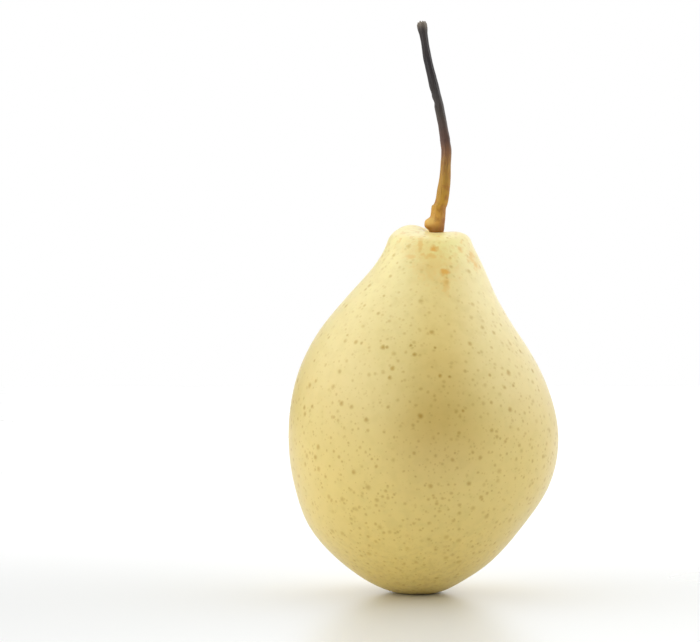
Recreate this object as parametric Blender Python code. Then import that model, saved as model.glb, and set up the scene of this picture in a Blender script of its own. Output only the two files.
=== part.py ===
"""A whole pear standing on its own base: the fruit, its long stalk and the dry flower remnant underneath.

Metres, +Z up. The origin is on the ground under the middle of the belly, and -Y is the pear's front.
Each piece is turned about Z as a true round shape first. It is then pushed out of true, the way it grew.
"""

import math

import bmesh
import bpy
from mathutils import Vector
from mathutils.geometry import interpolate_bezier

MM = 0.001

# Fruit
FRUIT_HEIGHT = 92.0 * MM  # ground to the crown, without the fleshy shoulder
BELLY_WIDTH = 68.8 * MM
BELLY_DEPTH = 67.2 * MM
BELLY_HEIGHT = 40.2 * MM  # ground to the widest ring
BELLY_DROP = 25.3 * MM  # how far down the belly carries its width
BELLY_CLIMB = 21.0 * MM  # how far up the belly carries its width
BASE_REACH = 6.5 * MM  # how far the base keeps the direction in which it leaves the flat ring
BASE_RISE = math.radians(3.0)  # slope of that direction
NECK_WIDTH = 21.4 * MM  # where the neck turns over into the crown
NECK_DROP = 2.4 * MM  # that edge below the crown
NECK_TAPER = math.radians(22.5)  # lean of the neck's side from upright
NECK_LENGTH = 16.5 * MM  # how far down the neck that lean carries
CROWN_ROUND = 2.2 * MM  # rounding from the neck's side to the crown
SHOULDER_RISE = 2.0 * MM  # fleshy swelling beside the stalk
SHOULDER_SPREAD = 5.0 * MM
SHOULDER_PLACE = Vector((-3.4, 1.6)) * MM
CROWN_TILT = math.radians(3.0)  # the crown faces slightly forward

# Hollow of the flower end, and the flat ring round it that the fruit rests on
HOLLOW_WIDTH = 8.0 * MM
HOLLOW_DEPTH = 3.6 * MM
REST_RING = 1.4 * MM  # breadth of the ring

# Stalk
STALK_LENGTH = 54.6 * MM
FOOT_WIDTH = 3.8 * MM
FOOT_SOLE_WIDTH = 2.8 * MM  # flat underside of the foot
FOOT_ROUND = 1.6 * MM  # height of the rounding over the sole
FOOT_HEIGHT = 6.6 * MM  # sole to the ledge where the shaft starts
FOOT_SWELL = 1.4 * MM  # how far the callus of the foot stands out on its left
CALLUS_HEIGHT = 2.2 * MM
CALLUS_SPREAD = 1.1 * MM
SHAFT_LOW_WIDTH = 3.3 * MM
SHAFT_BEND_WIDTH = 2.5 * MM
BEND_SHARE = 0.42  # share of the length from the sole to the bend
SHAFT_HIGH_WIDTH = 2.05 * MM
TIP_WIDTH = 2.65 * MM
TIP_LENGTH = 4.4 * MM  # the flare and the broken end
TIP_BREAK = 1.1 * MM  # height of the broken end alone
TIP_DRAW_IN = 0.75  # width half-way up the broken end against the rim's
STALK_PLACE = Vector((3.6, -2.2)) * MM  # foot of the stalk, from the middle of the belly

# Dry flower remnant
CALYX_WIDTH = 4.4 * MM
CALYX_THICKNESS = 1.1 * MM
CALYX_EDGE = 0.45 * MM  # thickness left at its withered edge
CALYX_CUP = 0.5 * MM  # depth of the cup in its underside
SEPALS = 5
SEPAL_GAP_SHARE = 0.22  # how far the gaps between the sepals cut into the disc

# Fits
TOUCH_GAP = 0.3 * MM  # kept between pieces that touch
FOOT_ROOM = 0.5 * MM  # flesh stands back this far from the foot
DIMPLE_DEPTH = 0.7 * MM
CALYX_ROOM = 0.4 * MM  # floor of the hollow round the remnant

# Sway of the fruit's own axis: share of the height, to the right, to the back (mm)
FRUIT_SWAY = (
    (0.00, -1.7, 0.6),
    (0.16, -2.2, 0.3),
    (0.30, -0.4, 0.1),
    (0.44, 0.0, 0.0),
    (0.72, -1.3, -0.4),
    (0.81, -0.5, -0.7),
    (0.91, 1.6, -1.0),
    (1.00, 1.8, -1.2),
)

# Sway of the stalk from its foot: share of the length, to the right, to the back (mm)
STALK_SWAY = (
    (0.00, 0.0, 0.0),
    (0.12, 0.5, 0.0),
    (0.31, 2.3, -0.4),
    (0.41, 2.4, -0.7),
    (0.60, 0.5, -0.8),
    (0.80, -2.1, -0.1),
    (1.00, -4.0, 1.2),
)

FRUIT_SIDES = 48
STALK_SIDES = 16
CALYX_SIDES = 30
MERGE_DISTANCE = 0.001 * MM
SLOPE_STEP = 0.001  # share of the length used to read a slope

# Reaches that more than one piece follows
FOOT_REACH = FOOT_WIDTH / 2 + FOOT_SWELL
SEAT_RADIUS = FOOT_WIDTH / 2 + FOOT_ROOM
DIMPLE_RADIUS = FOOT_REACH + FOOT_ROOM
HOLLOW_FLOOR_RADIUS = CALYX_WIDTH / 2 + CALYX_ROOM
REST_RADIUS = HOLLOW_WIDTH / 2 + REST_RING
SEAT_HEIGHT = FRUIT_HEIGHT - DIMPLE_DEPTH


def station_slopes(stations):
    """Slope at each station of a smooth curve through all of them."""
    slopes = []
    for index in range(len(stations)):
        before = stations[max(index - 1, 0)]
        after = stations[min(index + 1, len(stations) - 1)]
        run = after[0] - before[0]
        slopes.append(tuple((after[axis] - before[axis]) / run for axis in (1, 2)))
    return slopes


def sway_at(stations, share):
    """Sideways offset, in metres, at a share of the way along a set of stations."""
    share = min(max(share, 0.0), 1.0)
    slopes = station_slopes(stations)
    index = max(i for i in range(len(stations) - 1) if stations[i][0] <= share)
    low, high = stations[index], stations[index + 1]
    run = high[0] - low[0]
    t = (share - low[0]) / run
    offset = Vector((0.0, 0.0, 0.0))
    for axis in (0, 1):
        offset[axis] = (
            (2 * t**3 - 3 * t**2 + 1) * low[axis + 1]
            + (t**3 - 2 * t**2 + t) * run * slopes[index][axis]
            + (3 * t**2 - 2 * t**3) * high[axis + 1]
            + (t**3 - t**2) * run * slopes[index + 1][axis]
        )
    return offset * MM


def ease(value, low, high):
    """0 below low, 1 above high and a smooth rise between them."""
    t = min(max((value - low) / (high - low), 0.0), 1.0)
    return t * t * (3.0 - 2.0 * t)


def curve(start, start_handle, end_handle, end, pieces):
    """Points of one Bezier stretch of an outline, without its first point."""
    knots = [Vector((radius, 0.0, height)) for radius, height in (start, start_handle, end_handle, end)]
    return [(point.x, point.z) for point in interpolate_bezier(*knots, pieces + 1)][1:]


def upright_stretch(start, end, pieces):
    """Points of a stretch that leaves its start and meets its end upright, without its first point."""
    middle = (start[1] + end[1]) / 2
    return curve(start, (start[0], middle), (end[0], middle), end, pieces)


def turned(outline, sides):
    """A closed shape turned from an outline of (radius, height) that starts and ends on the axis."""
    mesh = bmesh.new()
    rim = [mesh.verts.new((radius, 0.0, height)) for radius, height in outline]
    edges = [mesh.edges.new(pair) for pair in zip(rim, rim[1:])]
    bmesh.ops.spin(
        mesh,
        geom=rim + edges,
        cent=(0.0, 0.0, 0.0),
        axis=(0.0, 0.0, 1.0),
        angle=math.tau,
        steps=sides,
        use_merge=True,
    )
    bmesh.ops.remove_doubles(mesh, verts=mesh.verts, dist=MERGE_DISTANCE)
    return mesh


def finished(name, mesh, material, sharp_angle):
    """Makes the mesh an object with its own material, smooth except at its sharp edges."""
    bmesh.ops.recalc_face_normals(mesh, faces=mesh.faces)
    data = bpy.data.meshes.new(name)
    mesh.to_mesh(data)
    mesh.free()
    data.materials.append(material)
    data.shade_smooth()
    data.set_sharp_from_angle(angle=sharp_angle)
    piece = bpy.data.objects.new(name, data)
    bpy.context.scene.collection.objects.link(piece)
    return piece


def plain_material(name, colour, roughness):
    material = bpy.data.materials.new(name)
    material.use_nodes = True
    shader = material.node_tree.nodes["Principled BSDF"]
    shader.inputs["Base Color"].default_value = (*colour, 1.0)
    shader.inputs["Roughness"].default_value = roughness
    shader.inputs["Metallic"].default_value = 0.0
    material.diffuse_color = (*colour, 1.0)
    return material


def fruit_outline():
    """From the middle of the flower end's hollow, round the outside, to the middle of the crown."""
    floor = (HOLLOW_FLOOR_RADIUS, HOLLOW_DEPTH)
    lip = (HOLLOW_WIDTH / 2, 0.0)
    rest = (REST_RADIUS, 0.0)
    leaving = (
        REST_RADIUS + BASE_REACH * math.cos(BASE_RISE),
        BASE_REACH * math.sin(BASE_RISE),
    )
    belly = (BELLY_WIDTH / 2, BELLY_HEIGHT)
    neck = (NECK_WIDTH / 2, FRUIT_HEIGHT - NECK_DROP)
    neck_side = (
        neck[0] + NECK_LENGTH * math.sin(NECK_TAPER),
        neck[1] - NECK_LENGTH * math.cos(NECK_TAPER),
    )
    neck_turn = (
        neck[0] - CROWN_ROUND * math.sin(NECK_TAPER),
        neck[1] + CROWN_ROUND * math.cos(NECK_TAPER),
    )
    dimple = (DIMPLE_RADIUS, FRUIT_HEIGHT)
    crown = ((DIMPLE_RADIUS + neck[0]) / 2, FRUIT_HEIGHT)
    wall = (DIMPLE_RADIUS + SEAT_RADIUS) / 2
    seat = (SEAT_RADIUS, SEAT_HEIGHT)

    outline = [(0.0, HOLLOW_DEPTH), (floor[0] / 2, HOLLOW_DEPTH), floor]
    outline += curve(floor, (lip[0], HOLLOW_DEPTH), (lip[0], HOLLOW_DEPTH / 2), lip, 5)
    outline += curve(lip, lip, rest, rest, 2)
    outline += curve(rest, leaving, (belly[0], belly[1] - BELLY_DROP), belly, 17)
    outline += curve(belly, (belly[0], belly[1] + BELLY_CLIMB), neck_side, neck, 17)
    outline += curve(neck, neck_turn, crown, dimple, 6)
    outline += curve(dimple, (wall, FRUIT_HEIGHT), (wall, SEAT_HEIGHT), seat, 3)
    outline += [(SEAT_RADIUS / 2, SEAT_HEIGHT), (0.0, SEAT_HEIGHT)]
    return outline


def fruit_grown(point):
    """Where a point of the true round fruit lies on the real one."""
    radius = math.hypot(point.x, point.y)
    flattened = ease(radius, REST_RADIUS, BELLY_WIDTH / 2)
    depth = 1.0 - flattened * (1.0 - BELLY_DEPTH / BELLY_WIDTH)
    moved = Vector((point.x, point.y * depth, point.z))
    moved += sway_at(FRUIT_SWAY, point.z / FRUIT_HEIGHT)
    if point.z < BELLY_HEIGHT:
        return moved
    # The crown's rings draw in to the stalk, which stands right of the middle and in front of it.
    drawn = 1.0 - ease(radius, SEAT_RADIUS, NECK_WIDTH / 2)
    stalk = Vector((*STALK_PLACE, 0.0)) - sway_at(FRUIT_SWAY, 1.0)
    moved += stalk * drawn
    # The fleshy shoulder swells beside the stalk but not under its foot.
    away = (Vector(moved.xy) - SHOULDER_PLACE).length / SHOULDER_SPREAD
    clear = ease(radius, SEAT_RADIUS, DIMPLE_RADIUS + FOOT_ROOM)
    top = ease(point.z, FRUIT_HEIGHT - SHOULDER_SPREAD, FRUIT_HEIGHT)
    moved.z += SHOULDER_RISE * math.exp(-away * away) * clear * top
    moved.z += math.tan(CROWN_TILT) * (moved.y - STALK_PLACE.y) * clear * top
    return moved


def make_fruit():
    mesh = turned(fruit_outline(), FRUIT_SIDES)
    for vertex in mesh.verts:
        vertex.co = fruit_grown(vertex.co)
    skin = plain_material("pear_skin", (0.80, 0.67, 0.33), 0.42)
    return finished("fruit", mesh, skin, math.radians(50.0))


def stalk_outline():
    """From the middle of the sole, up the foot and the shaft, to the middle of the broken tip."""
    sole = FOOT_SOLE_WIDTH / 2
    foot = FOOT_WIDTH / 2
    low = SHAFT_LOW_WIDTH / 2
    bend = SHAFT_BEND_WIDTH / 2
    high = SHAFT_HIGH_WIDTH / 2
    tip = TIP_WIDTH / 2
    ledge = FOOT_HEIGHT + (foot - low)
    bend_height = STALK_LENGTH * BEND_SHARE
    flare = STALK_LENGTH - TIP_LENGTH
    rim = STALK_LENGTH - TIP_BREAK
    outline = [(0.0, 0.0), (sole, 0.0)]
    outline += curve((sole, 0.0), (foot, 0.0), (foot, FOOT_ROUND / 2), (foot, FOOT_ROUND), 4)
    outline += upright_stretch((foot, FOOT_ROUND), (foot, FOOT_HEIGHT), 4)
    outline += [(low, ledge)]
    outline += upright_stretch((low, ledge), (bend, bend_height), 8)
    outline += upright_stretch((bend, bend_height), (high, flare), 12)
    outline += upright_stretch((high, flare), (tip, rim), 4)
    outline += [(tip * TIP_DRAW_IN, (rim + STALK_LENGTH) / 2), (0.0, STALK_LENGTH)]
    return outline


def stalk_grown(point, foot):
    """Where a point of the straight stalk lies once it stands on its foot and has bent."""
    share = point.z / STALK_LENGTH
    low = max(share - SLOPE_STEP, 0.0)
    high = min(share + SLOPE_STEP, 1.0)
    rise = Vector((0.0, 0.0, (high - low) * STALK_LENGTH))
    slope = (sway_at(STALK_SWAY, high) - sway_at(STALK_SWAY, low) + rise).normalized()
    upright = Vector((0.0, 0.0, 1.0))
    along = upright.lerp(slope, ease(point.z, 0.0, FOOT_HEIGHT)).normalized()
    across = Vector((0.0, 1.0, 0.0)).cross(along).normalized()
    back = along.cross(across)
    # The callus stands out on the left of the foot alone.
    callus = math.exp(-(((point.z - CALLUS_HEIGHT) / CALLUS_SPREAD) ** 2))
    stretched = 1.0 + callus * FOOT_SWELL / (FOOT_WIDTH / 2)
    sideways = point.x * stretched if point.x < 0.0 else point.x
    middle = foot + upright * point.z + sway_at(STALK_SWAY, share)
    return middle + across * sideways + back * point.y


def make_stalk():
    mesh = turned(stalk_outline(), STALK_SIDES)
    foot = Vector((*STALK_PLACE, SEAT_HEIGHT + TOUCH_GAP))
    for vertex in mesh.verts:
        vertex.co = stalk_grown(vertex.co, foot)
    bark = plain_material("stalk_bark", (0.12, 0.075, 0.05), 0.6)
    return finished("stem", mesh, bark, math.radians(40.0))


def calyx_outline():
    """From the middle of the side against the fruit, over the edge, to the middle of the cup."""
    radius = CALYX_WIDTH / 2
    top = HOLLOW_DEPTH - TOUCH_GAP
    bottom = top - CALYX_THICKNESS
    inner = radius - CALYX_EDGE
    outline = [(0.0, top), (inner / 2, top), (inner, top), (radius, bottom + CALYX_EDGE)]
    outline += [(inner, bottom), (inner / 2, bottom + CALYX_CUP), (0.0, bottom + CALYX_CUP)]
    return outline


def calyx_grown(point, middle):
    """Where a point of the round disc lies once the gaps between the sepals have drawn in."""
    radius = math.hypot(point.x, point.y)
    outer = ease(radius, CALYX_WIDTH / 4, CALYX_WIDTH / 2)
    gap = (0.5 - 0.5 * math.cos(SEPALS * math.atan2(point.y, point.x))) ** 2
    drawn = 1.0 - SEPAL_GAP_SHARE * gap * outer
    return Vector((point.x * drawn, point.y * drawn, point.z)) + middle


def make_calyx():
    mesh = turned(calyx_outline(), CALYX_SIDES)
    middle = sway_at(FRUIT_SWAY, 0.0)
    for vertex in mesh.verts:
        vertex.co = calyx_grown(vertex.co, middle)
    dry = plain_material("dry_calyx", (0.09, 0.055, 0.035), 0.8)
    return finished("calyx", mesh, dry, math.radians(40.0))


for existing in list(bpy.data.objects):
    bpy.data.objects.remove(existing, do_unlink=True)

make_fruit()
make_stalk()
make_calyx()
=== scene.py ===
import math

import bmesh
import bpy
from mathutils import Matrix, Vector, noise
from mathutils.geometry import interpolate_bezier


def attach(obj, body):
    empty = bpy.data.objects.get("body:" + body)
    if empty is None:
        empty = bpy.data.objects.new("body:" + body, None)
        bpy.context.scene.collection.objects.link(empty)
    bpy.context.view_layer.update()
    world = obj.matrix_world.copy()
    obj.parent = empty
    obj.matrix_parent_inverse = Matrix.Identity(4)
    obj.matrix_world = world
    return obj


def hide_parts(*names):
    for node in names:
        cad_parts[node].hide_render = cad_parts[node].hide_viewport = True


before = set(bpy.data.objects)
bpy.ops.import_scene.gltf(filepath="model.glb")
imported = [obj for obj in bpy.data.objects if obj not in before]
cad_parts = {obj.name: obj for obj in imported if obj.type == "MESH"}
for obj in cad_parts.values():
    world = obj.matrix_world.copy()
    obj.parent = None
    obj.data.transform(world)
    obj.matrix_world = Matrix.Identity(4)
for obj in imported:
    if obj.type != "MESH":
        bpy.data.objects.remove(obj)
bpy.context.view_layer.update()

MM = 0.001


# The studio: a white laminate table top, with white paper all round and overhead that lights it.
# The paper glows at both sides, above and behind, and hardly at all beside the lens,
# so the side of the fruit that faces the lens is its dimmest.
TABLE_RADIUS = 6.0
TABLE_SIDES = 96
LENS_LENGTH = 90.3  # mm, on a frame 36 mm wide
LENS_PLACE = (0.0, -0.45, 0.0562)
LENS_RISE = math.radians(1.66)
LENS_TURN = math.radians(2.37)
PAPER_GLOW = (
    # bearing from the lens's side round to the right, height (degrees), fall away from its middle, strength
    (90, 25, 6, 1.8),
    (135, 15, 8, 0.9),
    (180, 5, 12, 1.2),
    (180, 60, 6, 1.3),
    (270, 25, 6, 1.8),
    (315, 20, 8, 1.3),
    (0, 90, 4, 0.6),
)
PAPER_LEAST = 0.05  # glow of the paper away from all of these
PAINTED_SHADOW_REACH = 0.04  # m from the fruit's middle, inside which the painted shadow on the laminate is at its greyest
PAINTED_SHADOW_END = 0.22  # m, outside which the painted shadow has faded and the laminate is at its whitest


class Worked:
    """A value worked out at each point of a surface. Arithmetic on it adds Math nodes."""

    def __init__(self, finish, socket):
        self.finish = finish
        self.socket = socket

    def out(self, name):
        """Another output of the same node."""
        return Worked(self.finish, self.socket.node.outputs[name])

    def __add__(self, other):
        return self.finish.maths("ADD", self, other)

    __radd__ = __add__

    def __sub__(self, other):
        return self.finish.maths("SUBTRACT", self, other)

    def __rsub__(self, other):
        return self.finish.maths("SUBTRACT", other, self)

    def __mul__(self, other):
        return self.finish.maths("MULTIPLY", self, other)

    __rmul__ = __mul__

    def __truediv__(self, other):
        return self.finish.maths("DIVIDE", self, other)


class Finish:
    """The nodes of one finish."""

    def __init__(self, tree):
        self.tree = tree

    def node(self, kind, settings, sockets, output=0):
        """One node of any kind: its settings first, then a value or a link for each socket named."""
        made = self.tree.nodes.new(kind)
        for name, value in settings.items():
            if name == "stops":
                stops = made.color_ramp.elements
                while len(stops) < len(value):
                    stops.new(1.0)
                for stop, (position, colour) in zip(stops, value):
                    stop.position = position
                    stop.color = (*colour, 1.0)
            else:
                setattr(made, name, value)
        for name, value in sockets.items():
            if isinstance(value, Worked):
                self.tree.links.new(value.socket, made.inputs[name])
            else:
                made.inputs[name].default_value = value
        return Worked(self, made.outputs[output])

    def maths(self, operation, *values):
        return self.node("ShaderNodeMath", {"operation": operation}, dict(enumerate(values)))

    def rise(self, value, low, high):
        """0 at low, 1 at high and a smooth rise between them. With low above high it falls instead."""
        return self.node(
            "ShaderNodeMapRange",
            {"interpolation_type": "SMOOTHSTEP"},
            {"Value": value, "From Min": low, "From Max": high},
        )

    def blend(self, share, first, second, kind="MIX"):
        """The first colour, with a share of the second over it."""
        settings = {"data_type": "RGBA", "blend_type": kind}
        return self.node("ShaderNodeMix", settings, {0: share, 6: first, 7: second}, 2)

    def feed(self, shader, **links):
        for name, value in links.items():
            self.tree.links.new(value.socket, shader.inputs[name.replace("_", " ")])


def tint(red, green, blue):
    """A colour of the 0 to 255 scale, as the share of light it sends back."""
    shares = (red / 255.0, green / 255.0, blue / 255.0)
    return tuple(s / 12.92 if s <= 0.04045 else ((s + 0.055) / 1.055) ** 2.4 for s in shares)


def finished(name, mesh, material):
    """Makes the mesh a smooth piece with its own material, at the origin."""
    bmesh.ops.recalc_face_normals(mesh, faces=mesh.faces)
    data = bpy.data.meshes.new(name)
    mesh.to_mesh(data)
    mesh.free()
    data.materials.append(material)
    data.shade_smooth()
    piece = bpy.data.objects.new(name, data)
    bpy.context.scene.collection.objects.link(piece)
    return piece


def new_material(name, settings):
    """A material whose shader has these constant values. Returns it with its shader and its nodes."""
    material = bpy.data.materials.new(name)
    material.use_nodes = True
    shader = material.node_tree.nodes["Principled BSDF"]
    for socket, value in settings.items():
        shader.inputs[socket].default_value = value
    return material, shader, Finish(material.node_tree)


def white_laminate():
    """Smooth white laminate, with a painted shadow that greys it near the fruit."""
    material, shader, finish = new_material(
        "white_laminate", {"Specular IOR Level": 0.35, "Metallic": 0.0}
    )
    place = finish.node("ShaderNodeTexCoord", {}, {}, "Object")
    away = finish.node("ShaderNodeVectorMath", {"operation": "LENGTH"}, {0: place}, "Value")
    cloud = finish.node("ShaderNodeTexNoise", {}, {"Vector": place, "Scale": 3.0, "Detail": 2.0})
    # Painted shadow: the laminate is greyer near the fruit and plain white further out.
    out_of_painted_shadow = finish.rise(away, PAINTED_SHADOW_REACH, PAINTED_SHADOW_END)
    colour = finish.blend(out_of_painted_shadow, (*tint(228, 230, 229), 1.0), (*tint(253, 253, 253), 1.0))
    finish.feed(shader, Base_Color=colour, Roughness=cloud * 0.06 + 0.25)
    return material


table = bmesh.new()
bmesh.ops.create_circle(table, cap_ends=True, segments=TABLE_SIDES, radius=TABLE_RADIUS)
table_top = finished("table_top", table, white_laminate())


def paper_glow(finish):
    """Strength of the light from each direction."""
    direction = finish.node("ShaderNodeTexCoord", {}, {}, "Generated")
    glow = PAPER_LEAST
    for bearing, height, fall, strength in PAPER_GLOW:
        turn = math.radians(bearing)
        level = math.cos(math.radians(height))
        middle = (math.sin(turn) * level, -math.cos(turn) * level, math.sin(math.radians(height)))
        facing = finish.node(
            "ShaderNodeVectorMath", {"operation": "DOT_PRODUCT"}, {0: direction, 1: middle}, "Value"
        )
        facing = finish.maths("MAXIMUM", facing, 0.0)
        glow = finish.maths("POWER", facing, fall) * strength + glow
    return glow


paper = bpy.data.worlds.new("white_paper")
paper.use_nodes = True
around = Finish(paper.node_tree)
in_view = around.node("ShaderNodeLightPath", {}, {}, "Is Camera Ray")
# The paper seen directly is plain white.
around.feed(
    paper.node_tree.nodes["Background"],
    Strength=around.maths("MAXIMUM", paper_glow(around) * (1 - in_view), in_view),
)
paper.node_tree.nodes["Background"].inputs["Color"].default_value = (1.0, 1.0, 1.0, 1.0)
bpy.context.scene.world = paper
bpy.context.scene.view_settings.view_transform = "Standard"

camera_data = bpy.data.cameras.new("lens")
camera_data.lens = LENS_LENGTH
camera_data.clip_start = 0.01
camera_data.clip_end = 100.0
camera = bpy.data.objects.new("lens", camera_data)
camera.location = LENS_PLACE
camera.rotation_euler = (math.pi / 2 + LENS_RISE, 0.0, LENS_TURN)
bpy.context.scene.collection.objects.link(camera)
bpy.context.scene.camera = camera


# The fruit: flesh and skin of a pale yellow pear, grown as one piece round its own bent axis.
# It has a fleshy shoulder beside the stalk, a shallow dimple round the stalk's foot, a full belly,
# and a hollow below whose rim is the flat ring that the pear stands on.
FRUIT_HEIGHT = 92.0 * MM
BELLY_WIDTH = 68.8 * MM
BELLY_DEPTH = 67.2 * MM
BELLY_HEIGHT = 40.2 * MM
BELLY_DROP = 25.3 * MM
BELLY_CLIMB = 21.0 * MM
BASE_REACH = 7.0 * MM
BASE_RISE = math.radians(5.5)
BASE_DRAW = 0.35 * MM  # how far the underside draws in on its right
BASE_DRAW_HEIGHT = 8.0 * MM
NECK_WIDTH = 21.4 * MM
NECK_DROP = 2.4 * MM
NECK_TAPER = math.radians(22.5)
NECK_LENGTH = 16.5 * MM
CROWN_ROUND = 2.2 * MM
SHOULDER_RISE = 2.0 * MM
SHOULDER_SPREAD = 5.0 * MM
SHOULDER_PLACE = Vector((-3.4, 1.6)) * MM
CROWN_TILT = math.radians(3.0)
HOLLOW_WIDTH = 8.0 * MM
HOLLOW_DEPTH = 3.6 * MM
HOLLOW_FLOOR_RADIUS = 2.6 * MM
LIP_ROUND = 0.25 * MM  # rounding of the hollow's lip
HOLLOW_FOLDS = 10  # puckers of the skin in the hollow's wall
HOLLOW_FOLD_DEPTH = 0.16 * MM
HOLLOW_FOLD_WANDER = 1.5  # how unevenly the puckers are spaced
REST_RADIUS = 4.7 * MM
SEAT_RADIUS = 2.4 * MM
SEAT_HEIGHT = 91.3 * MM
DIMPLE_RADIUS = 3.8 * MM
FOOT_ROOM = 0.5 * MM
FRONT_DIP = 0.95 * MM  # the crown's lip is lower in front of the stalk
FRONT_DIP_SPREAD = 7.5 * MM
LIP_LOW = 84.0 * MM  # the front of the crown's lip is softened from here up
LIP_TURNS = 26  # rounds of smoothing there
STALK_PLACE = Vector((3.6, -2.2)) * MM
# Sway of the fruit's own axis: share of the height, to the right, to the back (mm)
FRUIT_SWAY = (
    (0.00, -1.7, 0.6),
    (0.16, -2.2, 0.3),
    (0.30, -0.4, 0.1),
    (0.44, 0.0, 0.0),
    (0.72, -1.3, -0.4),
    (0.81, -0.5, -0.7),
    (0.91, 1.6, -1.0),
    (1.00, 1.8, -1.2),
)
FRUIT_SIDES = 224
RING_SHARE = 3  # rings of the skin for each ring of the plain solid
HOLLOW_RINGS = 7  # rings of the plain solid, stretch by stretch
SIDE_RINGS = 17
CROWN_RINGS = 6
DIMPLE_RINGS = 3
SWELL_SPACING = 19.0 * MM  # between the gentle swells of the flesh
SWELL_HEIGHT = 0.28 * MM
SWELL_CLEAR = 4.0 * MM  # no swell this near the ring it stands on
MERGE_DISTANCE = 0.001 * MM


def station_slopes(stations):
    """Slope at each station of a smooth curve through all of them."""
    slopes = []
    for index in range(len(stations)):
        before = stations[max(index - 1, 0)]
        after = stations[min(index + 1, len(stations) - 1)]
        run = after[0] - before[0]
        slopes.append(tuple((after[axis] - before[axis]) / run for axis in (1, 2)))
    return slopes


def sway_at(stations, share):
    """Sideways offset at a share of the way along a set of stations."""
    share = min(max(share, 0.0), 1.0)
    slopes = station_slopes(stations)
    index = max(i for i in range(len(stations) - 1) if stations[i][0] <= share)
    low, high = stations[index], stations[index + 1]
    run = high[0] - low[0]
    t = (share - low[0]) / run
    offset = Vector((0.0, 0.0, 0.0))
    for axis in (0, 1):
        offset[axis] = (
            (2 * t**3 - 3 * t**2 + 1) * low[axis + 1]
            + (t**3 - 2 * t**2 + t) * run * slopes[index][axis]
            + (3 * t**2 - 2 * t**3) * high[axis + 1]
            + (t**3 - t**2) * run * slopes[index + 1][axis]
        )
    return offset * MM


def ease(value, low, high):
    """0 below low, 1 above high and a smooth rise between them."""
    t = min(max((value - low) / (high - low), 0.0), 1.0)
    return t * t * (3.0 - 2.0 * t)


def curve(start, start_handle, end_handle, end, rings):
    """Points of one Bezier stretch of an outline, without its first point."""
    knots = [Vector((radius, 0.0, height)) for radius, height in (start, start_handle, end_handle, end)]
    return [(point.x, point.z) for point in interpolate_bezier(*knots, rings + 1)][1:]


def turned(outline, sides):
    """A closed shape turned from an outline of (radius, height) that starts and ends on the axis."""
    mesh = bmesh.new()
    rim = [mesh.verts.new((radius, 0.0, height)) for radius, height in outline]
    edges = [mesh.edges.new(pair) for pair in zip(rim, rim[1:])]
    bmesh.ops.spin(
        mesh,
        geom=rim + edges,
        cent=(0.0, 0.0, 0.0),
        axis=(0.0, 0.0, 1.0),
        angle=math.tau,
        steps=sides,
        use_merge=True,
    )
    bmesh.ops.remove_doubles(mesh, verts=mesh.verts, dist=MERGE_DISTANCE)
    return mesh


def fruit_outline():
    """From the middle of the hollow below, round the outside, to the middle of the crown."""
    floor = (HOLLOW_FLOOR_RADIUS, HOLLOW_DEPTH)
    lip = (HOLLOW_WIDTH / 2 + LIP_ROUND, 0.0)
    rest = (REST_RADIUS, 0.0)
    leaving = (
        REST_RADIUS + BASE_REACH * math.cos(BASE_RISE),
        BASE_REACH * math.sin(BASE_RISE),
    )
    belly = (BELLY_WIDTH / 2, BELLY_HEIGHT)
    neck = (NECK_WIDTH / 2, FRUIT_HEIGHT - NECK_DROP)
    neck_side = (
        neck[0] + NECK_LENGTH * math.sin(NECK_TAPER),
        neck[1] - NECK_LENGTH * math.cos(NECK_TAPER),
    )
    neck_turn = (
        neck[0] - CROWN_ROUND * math.sin(NECK_TAPER),
        neck[1] + CROWN_ROUND * math.cos(NECK_TAPER),
    )
    dimple = (DIMPLE_RADIUS, FRUIT_HEIGHT)
    crown = ((DIMPLE_RADIUS + neck[0]) / 2, FRUIT_HEIGHT)
    wall = (DIMPLE_RADIUS + SEAT_RADIUS) / 2
    seat = (SEAT_RADIUS, SEAT_HEIGHT)

    outline = [(0.0, HOLLOW_DEPTH), (floor[0] / 2, HOLLOW_DEPTH), floor]
    wall_top = (HOLLOW_WIDTH / 2 - LIP_ROUND, HOLLOW_DEPTH)
    outline += curve(floor, wall_top, (HOLLOW_WIDTH / 2 - LIP_ROUND, 0.0), lip, HOLLOW_RINGS * RING_SHARE)
    outline += curve(lip, lip, rest, rest, RING_SHARE)
    below = (belly[0], belly[1] - BELLY_DROP)
    above = (belly[0], belly[1] + BELLY_CLIMB)
    outline += curve(rest, leaving, below, belly, SIDE_RINGS * RING_SHARE)
    outline += curve(belly, above, neck_side, neck, SIDE_RINGS * RING_SHARE)
    outline += curve(neck, neck_turn, crown, dimple, CROWN_RINGS * RING_SHARE)
    outline += curve(dimple, (wall, FRUIT_HEIGHT), (wall, SEAT_HEIGHT), seat, DIMPLE_RINGS * RING_SHARE)
    outline += [(SEAT_RADIUS / 2, SEAT_HEIGHT), (0.0, SEAT_HEIGHT)]
    return outline


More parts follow.
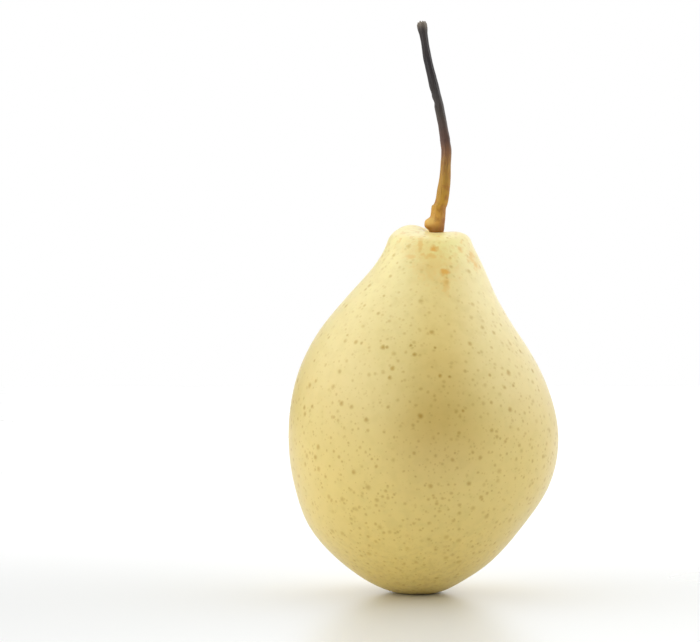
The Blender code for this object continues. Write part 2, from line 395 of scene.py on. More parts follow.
def fruit_grown(point):
    """Where a point of the true round fruit lies on the real one."""
    radius = math.hypot(point.x, point.y)
    flattened = ease(radius, REST_RADIUS, BELLY_WIDTH / 2)
    depth = 1.0 - flattened * (1.0 - BELLY_DEPTH / BELLY_WIDTH)
    moved = Vector((point.x, point.y * depth, point.z))
    moved += sway_at(FRUIT_SWAY, point.z / FRUIT_HEIGHT)
    if radius < HOLLOW_WIDTH / 2 and 0.0 < point.z < HOLLOW_DEPTH:
        # The skin puckers in the wall of the hollow.
        angle = math.atan2(point.y, point.x)
        fold = HOLLOW_FOLD_DEPTH * math.cos(HOLLOW_FOLDS * angle + HOLLOW_FOLD_WANDER * math.cos(2 * angle))
        pucker = fold * math.sin(math.pi * point.z / HOLLOW_DEPTH)
        moved += Vector((point.x, point.y, 0.0)).normalized() * pucker
    right = ease(point.x, REST_RADIUS, 3 * REST_RADIUS)
    moved.x -= BASE_DRAW * right * (1.0 - ease(point.z, 0.0, BASE_DRAW_HEIGHT))
    if point.z < BELLY_HEIGHT:
        return moved
    # The crown's rings draw in to the stalk, which stands right of the middle and in front of it.
    drawn = 1.0 - ease(radius, SEAT_RADIUS, NECK_WIDTH / 2)
    stalk = Vector((*STALK_PLACE, 0.0)) - sway_at(FRUIT_SWAY, 1.0)
    moved += stalk * drawn
    # The fleshy shoulder swells beside the stalk but not under its foot.
    away = (Vector(moved.xy) - SHOULDER_PLACE).length / SHOULDER_SPREAD
    clear = ease(radius, SEAT_RADIUS, DIMPLE_RADIUS + FOOT_ROOM)
    top = ease(point.z, FRUIT_HEIGHT - SHOULDER_SPREAD, FRUIT_HEIGHT)
    moved.z += SHOULDER_RISE * math.exp(-away * away) * clear * top
    moved.z += math.tan(CROWN_TILT) * (moved.y - STALK_PLACE.y) * clear * top
    front = ease(STALK_PLACE.y - moved.y, 0.0, FRONT_DIP_SPREAD)
    beside = (moved.x - STALK_PLACE.x) / FRONT_DIP_SPREAD
    moved.z -= FRONT_DIP * front * math.exp(-beside * beside) * top
    return moved


def swell(point):
    """How far the flesh stands out of its plain shape at a point."""
    clear = ease(point.z, 0.0, SWELL_CLEAR)
    clear *= 1.0 - ease(point.z, SEAT_HEIGHT - SWELL_CLEAR, SEAT_HEIGHT)
    return SWELL_HEIGHT * clear * noise.noise(point / SWELL_SPACING)


# Russet flecks round the stalk, where the skin was rubbed and healed (mm): middle, half sizes, strength
RUSSET_FLECKS = (
    ((-0.3, -12.0, 88.4), (0.8, 8.0, 2.4), 0.55),
    ((3.1, -13.0, 87.1), (1.1, 8.0, 1.1), 1.0),
    ((2.0, -13.0, 85.2), (3.0, 8.0, 1.1), 0.60),
    ((5.6, -15.0, 81.0), (1.5, 8.0, 1.2), 1.0),
    ((5.9, -16.0, 77.8), (0.9, 8.0, 3.0), 0.50),
    ((3.4, -14.0, 83.6), (5.5, 9.0, 5.5), 0.34),
    ((9.6, -10.0, 87.2), (0.8, 8.0, 0.9), 0.55),
    ((1.5, -13.0, 86.4), (5.5, 8.0, 4.0), 0.26),
    ((-1.5, 9.5, 87.6), (1.7, 4.0, 1.0), 0.60),
    ((3.2, 9.5, 85.0), (0.9, 4.0, 2.2), 0.50),
    ((-5.4, 8.0, 84.2), (1.2, 4.0, 0.9), 0.55),
    ((12.4, -7.0, 85.4), (1.1, 8.0, 1.7), 0.65),
    ((13.7, -7.0, 83.2), (0.8, 8.0, 1.4), 0.70),
    ((-2.6, -12.0, 85.2), (1.6, 8.0, 0.7), 0.45),
)
# Painted shade down the front of the neck and upper belly (mm): middle, half sizes
BAND_SHADE_MIDDLE = (4.6, -20.0, 69.2)
BAND_SHADE_SIZE = (9.0, 18.0, 26.0)
HOLLOW_RUSSET = (-1.7, 0.6, 1.0)
HOLLOW_RUSSET_SIZE = (6.0, 6.0, 5.0)
# Painted highlight on the crown's front lip (mm): middle, half sizes
LIP_HIGHLIGHT_MIDDLE = (5.2, -12.0, 87.0)
LIP_HIGHLIGHT_SIZE = (6.0, 8.0, 5.0)
# Painted shade on the front of the belly (mm): middle, half sizes
FRONT_SHADE_MIDDLE = (3.0, -33.0, 43.5)
FRONT_SHADE_SIZE = (13.5, 20.0, 18.0)
CORKY_SPOTS = (
    # spacing (mm), radius (mm), strength, how much of it shows at the neck and at the base
    (3.1, 1.10, 0.74, 1.0, 0.80),
    (1.8, 0.74, 0.72, 0.50, 1.0),
    (1.15, 0.44, 0.50, 0.35, 1.0),
)
CORK = (0.62, 0.47, 0.10, 1.0)
SHOULDER_TOP = 94.0  # mm, where the ground colour ends
DRIFT_SPACING = 24.0  # mm between slow drifts of the ground colour
DRIFT_REACH = 18.0  # mm that they shift it up or down
MOTTLE_SPACING = 2.6  # mm
RUSSET_SPACING = 1.3  # mm between the grains of russet
PEEL_SPACING = 0.8  # mm between the pores of the skin
SPOT_BEND = 0.4  # mm that the spots stray from round


def in_mm(finish):
    """Places on the piece, in mm."""
    place = finish.node("ShaderNodeTexCoord", {}, {}, "Object")
    return finish.node("ShaderNodeMapping", {}, {"Vector": place, "Scale": (1000.0, 1000.0, 1000.0)})


def patch(finish, place, middle, size):
    """Distance from the middle of an oval patch: 1 on its edge."""
    turned_in = finish.node(
        "ShaderNodeMapping",
        {},
        {
            "Vector": place,
            "Location": tuple(-m / s for m, s in zip(middle, size)),
            "Scale": tuple(1 / s for s in size),
        },
    )
    return finish.node("ShaderNodeVectorMath", {"operation": "LENGTH"}, {0: turned_in}, "Value")


def pear_skin():
    """Thin waxy skin: straw yellow, creamy at the neck and a deeper yellow below, with corky spots and
    russet, painted shade on its front and a painted highlight on the crown's front lip.
    """
    material, shader, finish = new_material(
        "waxy_skin",
        {
            "Metallic": 0.0,
            "IOR": 1.45,
            "Specular IOR Level": 0.6,
            "Subsurface Weight": 0.15,
            "Subsurface Radius": (1.0, 0.62, 0.22),
            "Subsurface Scale": 2.5 * MM,
            "Coat Weight": 0.5,
            "Coat Roughness": 0.30,
        },
    )
    place = in_mm(finish)
    height = finish.node("ShaderNodeSeparateXYZ", {}, {"Vector": place}, "Z")

    # Ground colour, by height, with slow drifts of it and a fine mottle
    drift = finish.node(
        "ShaderNodeTexNoise", {}, {"Vector": place, "Scale": 1 / DRIFT_SPACING, "Detail": 2.0}
    )
    level = height + (drift - 0.5) * DRIFT_REACH
    ground = finish.node(
        "ShaderNodeValToRGB",
        {
            "stops": (
                (0.00, tint(251, 223, 124)),
                (0.12, tint(249, 222, 130)),
                (0.25, tint(241, 215, 127)),
                (0.52, tint(234, 211, 130)),
                (0.80, tint(248, 231, 160)),
                (1.00, tint(255, 240, 168)),
            )
        },
        {"Fac": level / SHOULDER_TOP},
    )
    mottle = finish.node(
        "ShaderNodeTexNoise", {}, {"Vector": place, "Scale": 1 / MOTTLE_SPACING, "Detail": 6.0}
    )
    ground = finish.blend(finish.rise(mottle, 0.40, 0.75) * 0.22, ground, (*tint(214, 192, 106), 1.0))
    # Painted shade: a darker, deeper yellow band down the front of the neck and upper belly.
    band_shade = patch(finish, place, BAND_SHADE_MIDDLE, BAND_SHADE_SIZE) + (drift - 0.5) * 0.6
    ground = finish.blend(finish.rise(band_shade, 1.3, 0.2), ground, (0.97, 0.92, 0.78, 1.0), "MULTIPLY")
    # Painted highlight: the crown's front lip lightened towards pale yellow.
    lip_highlight = finish.rise(patch(finish, place, LIP_HIGHLIGHT_MIDDLE, LIP_HIGHLIGHT_SIZE), 1.4, 0.3)
    ground = finish.blend(lip_highlight, ground, (*tint(255, 242, 160), 1.0))
    # Painted shade: the front of the belly darkened towards olive.
    front_shade = patch(finish, place, FRONT_SHADE_MIDDLE, FRONT_SHADE_SIZE) + (drift - 0.5) * 0.5
    ground = finish.blend(finish.rise(front_shade, 1.3, 0.1), ground, (0.85, 0.79, 0.68, 1.0), "MULTIPLY")

    # Corky spots, each with its own size: larger and sparser above, finer and closer below
    bend = finish.node("ShaderNodeTexNoise", {}, {"Vector": place, "Scale": 1.0, "Detail": 1.0}, "Color")
    stray = (SPOT_BEND, SPOT_BEND, SPOT_BEND)
    bent = finish.node(
        "ShaderNodeVectorMath", {"operation": "MULTIPLY_ADD"}, {0: bend, 1: stray, 2: place}
    )
    base = finish.rise(level, 62.0, 12.0)
    spots = 0.0
    for spacing, radius, strength, at_neck, at_base in CORKY_SPOTS:
        cell = finish.node("ShaderNodeTexVoronoi", {}, {"Vector": bent, "Scale": 1 / spacing}, "Distance")
        chance = finish.node("ShaderNodeSeparateColor", {}, {"Color": cell.out("Color")}, "Red")
        own = (chance * 0.5 + 0.5) * radius
        shown = base * (strength * (at_base - at_neck)) + strength * at_neck
        spot = finish.rise(cell * spacing / own, 1.0, 0.10) * shown
        spots = finish.maths("MAXIMUM", spots, spot)
    belly = finish.rise(level, 20.0, 36.0) * finish.rise(level, 74.0, 60.0)
    spots = spots * (belly * 0.38 + 0.76)
    colour = finish.blend(spots, ground, CORK, "MULTIPLY")

    # Russet: flecks below the stalk, a thin scatter of it round the crown and a bloom of it at the base
    grain = finish.node(
        "ShaderNodeTexNoise", {}, {"Vector": place, "Scale": 1 / RUSSET_SPACING, "Detail": 6.0}
    )
    russet = finish.rise(height, 82.0, 92.0) * finish.rise(grain, 0.55, 0.72) * 0.45
    for middle, size, strength in RUSSET_FLECKS:
        fleck = patch(finish, bent, middle, size) + (grain - 0.5) * 2.4
        russet = finish.maths("MAXIMUM", russet, finish.rise(fleck, 1.5, 0.1) * strength)
    colour = finish.blend(russet, colour, (*tint(238, 184, 74), 1.0))
    bloom = finish.rise(height, 24.0, 2.0) * finish.rise(grain, 0.46, 0.64) * 0.17
    colour = finish.blend(bloom, colour, (*tint(190, 150, 60), 1.0))
    hollow = patch(finish, place, HOLLOW_RUSSET, HOLLOW_RUSSET_SIZE) + (grain - 0.5) * 0.8
    colour = finish.blend(finish.rise(hollow, 1.2, 0.5) * 0.65, colour, (*tint(186, 142, 66), 1.0))

    # Gloss and relief
    peel = finish.node(
        "ShaderNodeTexNoise", {}, {"Vector": place, "Scale": 1 / PEEL_SPACING, "Detail": 2.0}
    )
    relief = peel * 0.22 - spots * 0.7 + russet * 0.5
    bump = finish.node("ShaderNodeBump", {}, {"Height": relief, "Distance": 0.05 * MM, "Strength": 1.0})
    rough = spots * 0.15 + russet * 0.2 + mottle * 0.10 + 0.34
    finish.feed(shader, Base_Color=colour, Roughness=rough, Normal=bump)
    return material


fruit_mesh = turned(fruit_outline(), FRUIT_SIDES)
for vertex in fruit_mesh.verts:
    vertex.co = fruit_grown(vertex.co)
lip_front = STALK_PLACE.y - DIMPLE_RADIUS
lip = [vertex for vertex in fruit_mesh.verts if vertex.co.z > LIP_LOW and vertex.co.y < lip_front]
for _ in range(LIP_TURNS):
    bmesh.ops.smooth_vert(
        fruit_mesh, verts=lip, factor=0.5, use_axis_x=True, use_axis_y=True, use_axis_z=True
    )
fruit_mesh.normal_update()
for vertex in fruit_mesh.verts:
    vertex.co += vertex.normal * swell(vertex.co)
fruit = finished("pear_body", fruit_mesh, pear_skin())
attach(fruit, "root")
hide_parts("fruit")


# The stalk: a woody shoot that grew out of the crown, golden and fleshy at its foot and dark bark above.
# A callus swells on the left of the foot, a ledge ends the foot, and the tip is flared and torn
# where the pear was twisted off the twig.
STALK_LENGTH = 54.6 * MM
FOOT_WIDTH = 3.8 * MM
FOOT_SOLE_WIDTH = 2.8 * MM
FOOT_ROUND = 1.6 * MM
FOOT_HEIGHT = 6.6 * MM
FOOT_SWELL = 1.3 * MM
CALLUS_HEIGHT = 2.4 * MM
CALLUS_SPREAD = 1.35 * MM
SHAFT_LOW_WIDTH = 3.3 * MM
SHAFT_BEND_WIDTH = 2.5 * MM
BEND_SHARE = 0.42
SHAFT_HIGH_WIDTH = 2.05 * MM
TIP_WIDTH = 2.65 * MM
TIP_LENGTH = 4.4 * MM
TIP_BREAK = 1.1 * MM
TIP_DRAW_IN = 0.75
SOLE_GAP = 0.3 * MM
SLOPE_STEP = 0.001
# Sway of the stalk from its foot: share of the length, to the right, to the back (mm)
STALK_SWAY = (
    (0.00, 0.0, 0.0),
    (0.12, 0.5, 0.0),
    (0.155, 1.15, 0.0),
    (0.21, 1.8, -0.1),
    (0.31, 2.4, -0.4),
    (0.41, 2.4, -0.7),
    (0.60, 0.5, -0.8),
    (0.80, -2.1, -0.1),
    (1.00, -4.0, 1.2),
)
STALK_SIDES = 72
ROUND_RINGS = 12  # rings of each stretch of its outline, from the sole up
FOOT_RINGS = 20
LEDGE_RINGS = 5
LOW_RINGS = 50
HIGH_RINGS = 80
FLARE_RINGS = 18
RIM_RINGS = 6
BREAK_RINGS = 9
LEDGE_EVEN = 0.10 * MM  # how far the foot's left side draws in about the ledge
EVEN_FROM = 0.35  # shares of the foot's height where that starts, is full and ends
EVEN_FULL = 1.05
EVEN_END = 1.3
EVEN_FADE = 0.4
SHAFT_SHIFT = 0.30 * MM  # how far the shaft starts to the right of the foot's middle
SHIFT_FROM = 0.96  # shares of the foot's height where that starts and is full
SHIFT_FULL = 1.12
SHIFT_TOP = 12.0 * MM  # height at which it has ended
SHIFT_FADE = 4.5 * MM  # length over which it fades
RIBS = 5
FINE_RIBS = 9
FINE_RIB_SHARE = 0.6
RIB_WANDER = 1.1  # radians that the ribs stray round the stalk
RIB_HEIGHT = 0.045 * MM
LUMP_HEIGHT = 0.22 * MM
LUMP_SPACING = 2.6 * MM
LUMP_STRETCH = 0.45  # below 1 draws the lumps out along the stalk
GRAIN_HEIGHT = 0.07 * MM
GRAIN_SPACING = 0.45 * MM
GRAIN_STRETCH = 0.2
BUD_SCARS = (
    # share of the length, bearing from the right (degrees), height
    (0.615, 180, 0.26 * MM),
    (0.66, 165, 0.14 * MM),
    (0.42, 10, 0.14 * MM),
    (0.90, 200, 0.12 * MM),
)
KNOT_SPREAD = 0.8 * MM
KNOT_TURN = 0.7  # radians that a scar spreads round the stalk
TEAR_HEIGHT = 0.42 * MM
TEAR_SPACING = 0.42 * MM
FINE_TEAR_SHARE = 0.6
FINE_TEAR_SPACING = 0.2 * MM
FOOT_RIGHT = (5.6, -3.0, 93.2)  # mm
FOOT_RIGHT_SIZE = (1.5, 4.0, 3.6)
# Painted highlight on the callus (mm): middle, half sizes
CALLUS_HIGHLIGHT_MIDDLE = (1.9, -3.6, 94.6)
CALLUS_HIGHLIGHT_SIZE = (1.9, 2.0, 1.3)
TIP_CUP = 0.5 * MM


def upright_stretch(start, end, rings):
    """Points of a stretch that leaves its start and meets its end upright, without its first point."""
    middle = (start[1] + end[1]) / 2
    return curve(start, (start[0], middle), (end[0], middle), end, rings)


def stalk_outline():
    """From the middle of the sole, up the foot and the shaft, to the middle of the torn tip."""
    sole = FOOT_SOLE_WIDTH / 2
    foot = FOOT_WIDTH / 2
    low = SHAFT_LOW_WIDTH / 2
    bend = SHAFT_BEND_WIDTH / 2
    high = SHAFT_HIGH_WIDTH / 2
    tip = TIP_WIDTH / 2
    ledge = FOOT_HEIGHT + (foot - low)
    bend_height = STALK_LENGTH * BEND_SHARE
    flare = STALK_LENGTH - TIP_LENGTH
    rim = STALK_LENGTH - TIP_BREAK
    outline = [(0.0, 0.0), (sole, 0.0)]
    outline += curve((sole, 0.0), (foot, 0.0), (foot, FOOT_ROUND / 2), (foot, FOOT_ROUND), ROUND_RINGS)
    outline += upright_stretch((foot, FOOT_ROUND), (foot, FOOT_HEIGHT), FOOT_RINGS)
    shaft = (low, ledge + (foot - low))
    outline += curve((foot, FOOT_HEIGHT), (foot, ledge), (low, ledge), shaft, LEDGE_RINGS)
    outline += upright_stretch(shaft, (bend, bend_height), LOW_RINGS)
    outline += upright_stretch((bend, bend_height), (high, flare), HIGH_RINGS)
    outline += upright_stretch((high, flare), (tip, rim), FLARE_RINGS)
    shoulder = (tip * TIP_DRAW_IN, rim + TIP_BREAK * 0.8)
    outline += curve((tip, rim), (tip, rim + TIP_BREAK / 3), shoulder, shoulder, RIM_RINGS)
    outline += curve(shoulder, shoulder, (0.0, STALK_LENGTH), (0.0, STALK_LENGTH), BREAK_RINGS)
    return outline


def stalk_grown(point, foot):
    """Where a point of the straight stalk lies once it stands on its foot and has bent."""
    share = point.z / STALK_LENGTH
    low = max(share - SLOPE_STEP, 0.0)
    high = min(share + SLOPE_STEP, 1.0)
    rise = Vector((0.0, 0.0, (high - low) * STALK_LENGTH))
    slope = (sway_at(STALK_SWAY, high) - sway_at(STALK_SWAY, low) + rise).normalized()
    upright = Vector((0.0, 0.0, 1.0))
    along = upright.lerp(slope, ease(point.z, 0.0, FOOT_HEIGHT)).normalized()
    across = Vector((0.0, 1.0, 0.0)).cross(along).normalized()
    back = along.cross(across)
    # The callus stands out on the left of the foot alone, and a little towards the front.
    callus = math.exp(-(((point.z - CALLUS_HEIGHT) / CALLUS_SPREAD) ** 4))
    side = ease(-point.x, 0.0, FOOT_WIDTH / 2)
    sideways = point.x - callus * FOOT_SWELL * side
    # The ledge is on the left too: on the right the foot runs smoothly into the shaft.
    above = ease(point.z, FOOT_HEIGHT * EVEN_FROM, FOOT_HEIGHT * EVEN_FULL)
    below = ease(FOOT_HEIGHT * EVEN_END - point.z, 0.0, FOOT_HEIGHT * EVEN_FADE)
    sideways += LEDGE_EVEN * above * below * side
    # The shaft starts from the right of the foot, so that the ledge is all on the left.
    shifted = ease(point.z, FOOT_HEIGHT * SHIFT_FROM, FOOT_HEIGHT * SHIFT_FULL)
    sideways += SHAFT_SHIFT * shifted * ease(SHIFT_TOP - point.z, 0.0, SHIFT_FADE)
    middle = foot + upright * point.z + sway_at(STALK_SWAY, share)
    return middle + across * sideways + back * point.y


def bark_relief(point):
    """How far the bark stands out at a point of the straight stalk."""
    share = point.z / STALK_LENGTH
    angle = math.atan2(point.y, point.x)
    radius = math.hypot(point.x, point.y)
    skin = ease(radius, 0.3 * MM, 0.8 * MM)
    # Ribs run the length of the stalk and wander a little round it.
    wander = RIB_WANDER * noise.noise(Vector((0.0, 3.0, share * 5.0)))
    ribs = math.cos(RIBS * angle + wander + 3.0 * share)
    ribs += FINE_RIB_SHARE * math.cos(FINE_RIBS * angle - 2.0 * wander)
    woody = ease(share, 0.10, 0.35)
    relief = RIB_HEIGHT * ribs * (0.35 + 0.65 * woody)
    lump = Vector((point.x, point.y, point.z * LUMP_STRETCH)) / LUMP_SPACING
    relief += LUMP_HEIGHT * noise.noise(lump)
    grain = Vector((point.x, point.y, point.z * GRAIN_STRETCH)) / GRAIN_SPACING
    relief += GRAIN_HEIGHT * noise.noise(grain)
    for knot_share, knot_angle, knot_height in BUD_SCARS:
        turn = math.remainder(angle - math.radians(knot_angle), math.tau)
        gap = (point.z - knot_share * STALK_LENGTH) / KNOT_SPREAD
        relief += knot_height * math.exp(-gap * gap - (turn / KNOT_TURN) ** 2)
    return relief * skin


def torn_tip(point):
    """How far up or down the torn end stands at a point of the straight stalk."""
    torn = ease(point.z, STALK_LENGTH - TIP_BREAK * 1.6, STALK_LENGTH - TIP_BREAK * 0.5)
    radius = math.hypot(point.x, point.y) / (TIP_WIDTH / 2)
    splinter = noise.noise(Vector((point.x, point.y, 0.0)) / TEAR_SPACING)
    splinter += FINE_TEAR_SHARE * noise.noise(Vector((point.x, point.y, 1.0)) / FINE_TEAR_SPACING)
    cup = TIP_CUP * (1.0 - radius) * ease(point.z, STALK_LENGTH - TIP_BREAK, STALK_LENGTH)
    return torn * (TEAR_HEIGHT * splinter - cup)


def stalk_bark():
    material, shader, finish = new_material("woody_bark", {"Metallic": 0.0, "IOR": 1.45})
    place = in_mm(finish)
    height = finish.node("ShaderNodeSeparateXYZ", {}, {"Vector": place}, "Z")
    long = finish.node("ShaderNodeMapping", {}, {"Vector": place, "Scale": (1.0, 1.0, 0.12)})
    streak = finish.node("ShaderNodeTexNoise", {}, {"Vector": long, "Scale": 2.2, "Detail": 4.0})
    blotch = finish.node("ShaderNodeTexNoise", {}, {"Vector": place, "Scale": 0.5, "Detail": 3.0})
    sole_height = (SEAT_HEIGHT + SOLE_GAP) / MM
    share = (height - sole_height) / (STALK_LENGTH / MM)
    share = share + (streak - 0.5) * 0.05 + (blotch - 0.5) * 0.05
    colour = finish.node(
        "ShaderNodeValToRGB",
        {
            "stops": (
                (0.00, tint(190, 133, 48)),
                (0.05, tint(222, 165, 72)),
                (0.11, tint(204, 152, 50)),
                (0.16, tint(192, 144, 44)),
                (0.31, tint(178, 134, 56)),
                (0.36, tint(138, 96, 58)),
                (0.43, tint(96, 68, 57)),
                (0.55, tint(74, 66, 60)),
                (0.66, tint(56, 52, 50)),
                (0.80, tint(40, 35, 37)),
                (0.95, tint(58, 52, 50)),
                (1.00, tint(150, 138, 122)),
            )
        },
        {"Fac": share},
    )
    dark = finish.rise(streak, 0.45, 0.75) * (finish.rise(height, 97.0, 112.0) * 0.32 + 0.10)
    colour = finish.blend(dark, colour, (*tint(60, 45, 32), 1.0))
    # Painted shade: a dark brown rim at the sole, where the foot meets the fruit.
    sole = finish.rise(height, 94.0, 92.0) * 0.55
    colour = finish.blend(sole, colour, (*tint(112, 62, 22), 1.0))
    # Rusty blotches on the golden stretch, a browner right side to the foot and a painted highlight on the
    # callus
    rust = finish.rise(blotch, 0.48, 0.66) * finish.rise(height, 117.0, 100.0) * 0.55
    colour = finish.blend(rust, colour, (*tint(158, 92, 34), 1.0))
    shaded = finish.rise(patch(finish, place, FOOT_RIGHT, FOOT_RIGHT_SIZE), 1.4, 0.4) * 0.6
    colour = finish.blend(shaded, colour, (*tint(150, 88, 34), 1.0))
    # Painted highlight: the callus lightened towards pale gold.
    pale = finish.rise(patch(finish, place, CALLUS_HIGHLIGHT_MIDDLE, CALLUS_HIGHLIGHT_SIZE), 1.2, 0.2) * 0.75
    colour = finish.blend(pale, colour, (*tint(244, 202, 108), 1.0))
    bump = finish.node("ShaderNodeBump", {}, {"Height": streak, "Distance": 0.12 * MM, "Strength": 0.8})
    finish.feed(shader, Base_Color=colour, Roughness=streak * 0.2 + 0.45, Normal=bump)
    return material


stalk_mesh = turned(stalk_outline(), STALK_SIDES)
stalk_foot = Vector((*STALK_PLACE, SEAT_HEIGHT + SOLE_GAP))
stalk_mesh.normal_update()
for vertex in stalk_mesh.verts:
    straight = vertex.co.copy()
    shaped = straight + Vector((vertex.normal.x, vertex.normal.y, 0.0)) * bark_relief(straight)
    shaped.z += torn_tip(straight)
    vertex.co = stalk_grown(shaped, stalk_foot)
stalk = finished("pear_stalk", stalk_mesh, stalk_bark())
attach(stalk, "root")
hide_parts("stem")


# The dry remnant of the flower, in the hollow underneath: a brown corky disc that grew on the floor of the
# hollow, with five sepals withered and curled down from its rim and the stubs of the stamens inside them.
HOLLOW_MIDDLE = sway_at(FRUIT_SWAY, 0.0)
DISC_RADIUS = 1.75 * MM
DISC_TOP = HOLLOW_DEPTH - 0.3 * MM
DISC_THICKNESS = 0.75 * MM
DISC_CUP = 0.35 * MM
DISC_FLAT_SHARE = 0.8  # of its radius, the flat part of its top and of its underside
DISC_CUP_SHARE = 0.5  # of its radius, where the cup turns down
DISC_EDGE_RINGS = 5
DISC_CUP_RINGS = 8
DISC_SIDES = 40
DISC_LUMP_HEIGHT = 0.10 * MM
DISC_LUMP_SPACING = 0.5 * MM
SEPALS = 5
SEPAL_UNEVEN = 0.22  # share of a sepal's turn by which their spacing strays
SEPAL_LEAN = 0.35  # mm by which one stands further out than another
SEPAL_ROOT_RADIUS = 1.30  # mm
SEPAL_ROOT_HEIGHT = 2.95  # mm
SEPAL_OUTWARD = (2.1, 1.3)  # mm: how far it reaches out, and curls back
SEPAL_DOWNWARD = (0.10, 1.35)  # mm: how it leaves its root, and curls down
SEPAL_TAPER = 0.6  # below 1 the sepal keeps its width and then comes quickly to its point
SEPAL_WAIST = 0.25  # how much narrower it is at its root
SEPAL_ROLL = 0.35 * MM  # how far its edges roll inwards
SEPAL_TWIST = 0.18  # radians
SEPAL_USED = 0.98  # share of it that is left: the very point has gone
SEPAL_HALF_WIDTH = 0.95 * MM
SEPAL_THICKNESS = 0.13 * MM
SEPAL_ROWS = 16
SEPAL_COLUMNS = 10
SEPAL_WRINKLE = 0.16 * MM
STAMENS = 17
STAMEN_RADIUS = 0.055 * MM
STAMEN_SIDES = 7
STAMEN_TAPER = 0.6
STAMEN_ROOT = 0.25 * MM  # its root above the disc's underside
STAMEN_LEAN = 0.45
STAMEN_RING = (0.45, 0.55)  # mm: the nearest to the middle, and how much further out they may be
STAMEN_LENGTH = (0.55, 0.65)  # mm: the shortest, and how much longer they may be
STAMEN_TURN = 0.382  # of a full turn, from each stub to the next
STAMEN_RING_STEP = 0.618  # steps of the two ranges, from each stub to the next
STAMEN_LENGTH_STEP = 0.414


def sepal_place(along, beside, bearing, lean):
    """A point of one withered sepal: along it from 0 to 1, and beside its midrib from -1 to 1."""
    reach, curl = SEPAL_OUTWARD
    leave, droop = SEPAL_DOWNWARD
    out = (SEPAL_ROOT_RADIUS + lean * along + reach * along - curl * along**2) * MM
    down = (SEPAL_ROOT_HEIGHT - leave * along - droop * along**2) * MM
    width = SEPAL_HALF_WIDTH * (1.0 - along) ** SEPAL_TAPER * (1.0 - SEPAL_WAIST * (1.0 - along))
    sideways = beside * width
    # Its edges have rolled inwards, and it has crumpled as it dried.
    out -= SEPAL_ROLL * beside**2 * (0.3 + along)
    crumple = noise.noise(Vector((along * 3.1, beside * 1.6, bearing * 7.0)))
    out += SEPAL_WRINKLE * crumple
    down += SEPAL_WRINKLE * noise.noise(Vector((along * 2.3, beside * 2.2, bearing * 5.0 + 9.0)))
    turn = bearing + SEPAL_TWIST * crumple * along
    place = Vector((math.cos(turn), math.sin(turn), 0.0)) * out
    place += Vector((-math.sin(turn), math.cos(turn), 0.0)) * sideways
    place.z = down
    return place + HOLLOW_MIDDLE


def withered_sepals():
    """Dry brown sepal, paler and greyer along its fibres."""
    material, shader, finish = new_material("withered_sepals", {"Metallic": 0.0, "IOR": 1.45})
    place = in_mm(finish)
    fibre = finish.node("ShaderNodeTexNoise", {}, {"Vector": place, "Scale": 3.5, "Detail": 5.0})
    spot = finish.node("ShaderNodeTexNoise", {}, {"Vector": place, "Scale": 0.9, "Detail": 2.0})
    shade = finish.rise(fibre, 0.30, 0.72)
    colour = finish.blend(shade, (*tint(84, 57, 38), 1.0), (*tint(160, 124, 84), 1.0))
    colour = finish.blend(finish.rise(spot, 0.50, 0.75) * 0.5, colour, (*tint(186, 162, 124), 1.0))
    bump = finish.node("ShaderNodeBump", {}, {"Height": fibre, "Distance": 0.1 * MM, "Strength": 0.8})
    finish.feed(shader, Base_Color=colour, Roughness=fibre * 0.25 + 0.60, Normal=bump)
    return material


disc_bottom = DISC_TOP - DISC_THICKNESS
disc_rim = (DISC_RADIUS, (DISC_TOP + disc_bottom) / 2)
disc_flat = DISC_RADIUS * DISC_FLAT_SHARE
cup_turn = (DISC_RADIUS * DISC_CUP_SHARE, disc_bottom)
cup_floor = (0.0, disc_bottom + DISC_CUP)
disc_outline = [(0.0, DISC_TOP), (disc_flat, DISC_TOP)]
disc_outline += curve(disc_outline[-1], (DISC_RADIUS, DISC_TOP), disc_rim, disc_rim, DISC_EDGE_RINGS)
disc_outline += curve(
    disc_rim, disc_rim, (DISC_RADIUS, disc_bottom), (disc_flat, disc_bottom), DISC_EDGE_RINGS
)
disc_outline += curve(disc_outline[-1], cup_turn, cup_floor, cup_floor, DISC_CUP_RINGS)
remnant = turned(disc_outline, DISC_SIDES)
for vertex in remnant.verts:
    lump = noise.noise(vertex.co / DISC_LUMP_SPACING)
    vertex.co += vertex.co.normalized() * DISC_LUMP_HEIGHT * lump
    vertex.co += HOLLOW_MIDDLE

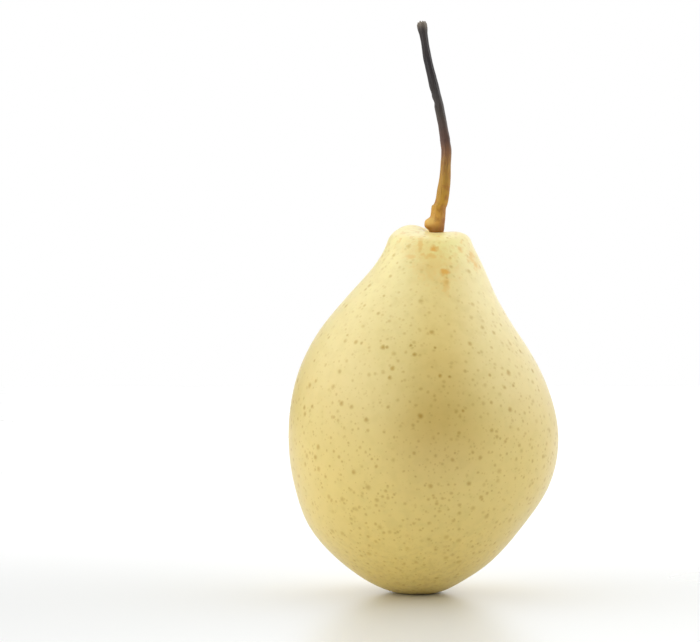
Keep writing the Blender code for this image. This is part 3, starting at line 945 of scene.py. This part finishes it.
for number in range(SEPALS):
    bearing = math.tau * (number + SEPAL_UNEVEN * math.sin(2.7 * number)) / SEPALS
    lean = SEPAL_LEAN * math.sin(4.1 * number + 1.0)
    leaf = bmesh.ops.create_grid(remnant, x_segments=SEPAL_ROWS, y_segments=SEPAL_COLUMNS, size=1.0)
    for vertex in leaf["verts"]:
        along = (vertex.co.x + 1.0) / 2 * SEPAL_USED
        vertex.co = sepal_place(along, vertex.co.y, bearing, lean)
    faces = list(dict.fromkeys(face for vertex in leaf["verts"] for face in vertex.link_faces))
    bmesh.ops.recalc_face_normals(remnant, faces=faces)
    thickened = bmesh.ops.extrude_face_region(remnant, geom=faces)
    remnant.normal_update()
    for part in thickened["geom"]:
        if isinstance(part, bmesh.types.BMVert):
            part.co += part.normal * SEPAL_THICKNESS

for number in range(STAMENS):
    # The stubs stand in a ring and lean over every way, each broken at its own length.
    bearing = math.tau * number * STAMEN_TURN
    out = (STAMEN_RING[0] + STAMEN_RING[1] * ((number * STAMEN_RING_STEP) % 1.0)) * MM
    length = (STAMEN_LENGTH[0] + STAMEN_LENGTH[1] * ((number * STAMEN_LENGTH_STEP) % 1.0)) * MM
    foot = Vector((math.cos(bearing), math.sin(bearing), 0.0)) * out + HOLLOW_MIDDLE
    foot.z = disc_bottom + STAMEN_ROOT
    stub = bmesh.ops.create_cone(
        remnant,
        cap_ends=True,
        segments=STAMEN_SIDES,
        radius1=STAMEN_RADIUS,
        radius2=STAMEN_RADIUS * STAMEN_TAPER,
        depth=length,
    )
    sideways = (math.cos(3.0 * bearing) * STAMEN_LEAN, math.sin(5.0 * bearing) * STAMEN_LEAN)
    lean = Vector((*sideways, -1.0)).normalized()
    turn = Vector((0.0, 0.0, 1.0)).rotation_difference(lean).to_matrix()
    bmesh.ops.rotate(remnant, verts=stub["verts"], cent=(0.0, 0.0, 0.0), matrix=turn)
    bmesh.ops.translate(remnant, verts=stub["verts"], vec=foot + lean * length / 2)
calyx = finished("flower_remnant", remnant, withered_sepals())
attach(calyx, "root")
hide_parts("calyx")
